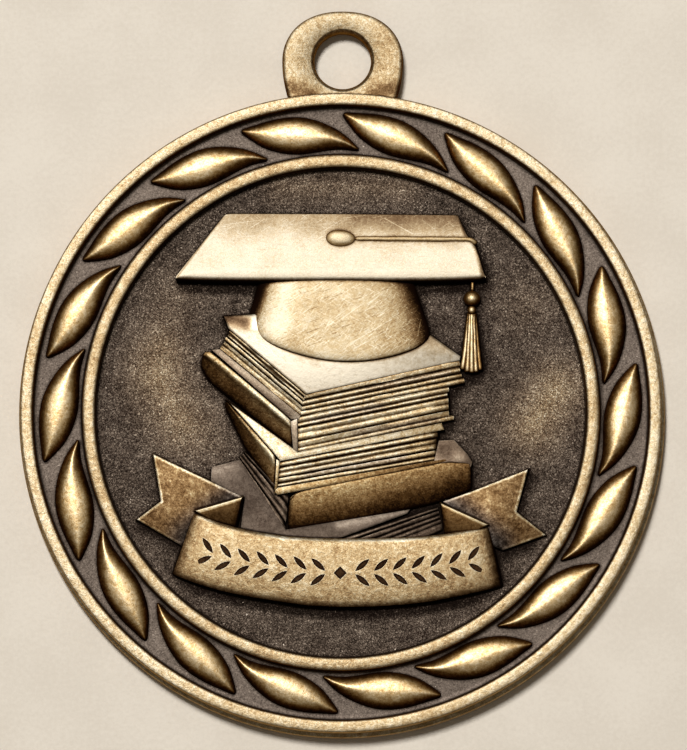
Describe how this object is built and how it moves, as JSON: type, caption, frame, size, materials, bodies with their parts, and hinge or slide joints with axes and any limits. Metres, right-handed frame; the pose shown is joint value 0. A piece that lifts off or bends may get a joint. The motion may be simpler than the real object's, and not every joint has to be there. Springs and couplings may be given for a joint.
{
  "type": "academic medallion",
  "caption": "Round cast award medal with a ribbon loop, a raised rim, a wreath of leaves and a relief of a mortarboard on books behind a banner.",
  "frame": {"origin": "centre of the disc on its flat back", "axes": "+Z out of the face, +Y from the disc's centre towards the ribbon loop, +X to the right as the face is read"},
  "size_m": [0.0512, 0.0576, 0.003],
  "materials": {
    "antique_bronze": "antique bronze plating, dark in the hollows and rubbed bright on the high places"
  },
  "bodies": {
    "root": {"medal": "antique_bronze"}
  },
  "joints": []
}
